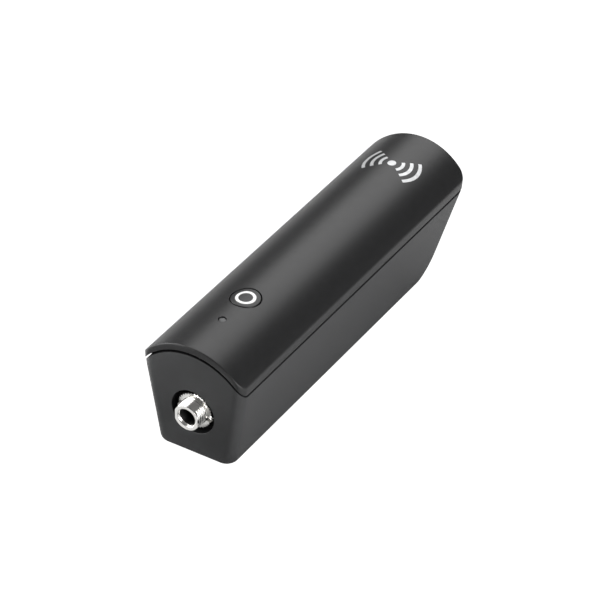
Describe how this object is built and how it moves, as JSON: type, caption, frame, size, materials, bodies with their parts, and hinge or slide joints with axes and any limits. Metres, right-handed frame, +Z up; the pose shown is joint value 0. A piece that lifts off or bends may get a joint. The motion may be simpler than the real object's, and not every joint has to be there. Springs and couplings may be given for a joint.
{
  "type": "wireless bodypack transmitter",
  "caption": "Pocket wireless microphone transmitter: tapered plastic body, curved lid with a flush button and status light, locking audio socket in the front.",
  "frame": {"origin": "middle of the outline, on the flat underside", "axes": "+Z up through the lid, -Y out of the front face along the audio socket, +X across the body"},
  "size_m": [0.024, 0.0916, 0.0265],
  "materials": {
    "cover_plastic": "fine-grained satin black, moulded",
    "shell_plastic": "fine matte dark grey, moulded",
    "dark_plastic": "plain black, moulded",
    "nickel": "bright nickel plating",
    "tinned_steel": "tinned sheet steel",
    "spring_bronze": "bare spring bronze",
    "plain_steel": "plain steel",
    "board": "solder mask",
    "chip_resin": "moulded resin",
    "ceramic": "fired ceramic",
    "clear_acrylic": "clear moulded",
    "cell_wrap": "shrink wrap",
    "foam": "open-cell foam",
    "white_nylon": "moulded nylon",
    "red_insulation": "wire insulation",
    "black_insulation": "wire insulation"
  },
  "bodies": {
    "housing": {"lower_shell": "shell_plastic", "top_cover": "cover_plastic", "socket_bushing": "nickel", "socket_ring_nut": "nickel", "socket_washer": "plain_steel", "socket_housing": "dark_plastic", "socket_ring_contact": "spring_bronze", "socket_tip_contact": "spring_bronze", "socket_sleeve_contact": "spring_bronze", "circuit_board": "board", "board_screw_1": "plain_steel", "board_screw_2": "plain_steel", "board_screw_3": "plain_steel", "board_screw_4": "plain_steel", "audio_converter_chip": "chip_resin", "audio_processor_chip": "chip_resin", "crystal": "tinned_steel", "radio_chip": "chip_resin", "radio_shield_can": "tinned_steel", "charger_chip": "chip_resin", "power_inductor": "chip_resin", "chip_antenna": "ceramic", "tact_switch_body": "dark_plastic", "status_led": "ceramic", "light_pipe": "clear_acrylic", "battery_cell": "cell_wrap", "lower_foam_pad": "foam", "upper_foam_pad": "foam", "battery_socket": "white_nylon", "battery_plug": "white_nylon", "battery_lead_red": "red_insulation", "battery_lead_black": "black_insulation", "charging_port_shell": "tinned_steel", "charging_port_tongue": "dark_plastic"},
    "button": {"button_cap": "cover_plastic", "tact_switch_plunger": "white_nylon"}
  },
  "joints": [
    {"name": "button_press", "type": "slide", "parent": "housing", "child": "button", "axis": [0, 0, -1], "range_m": [0, 0.0004], "stiffness_N_per_m": 4000, "springref_m": -0.0001}
  ]
}
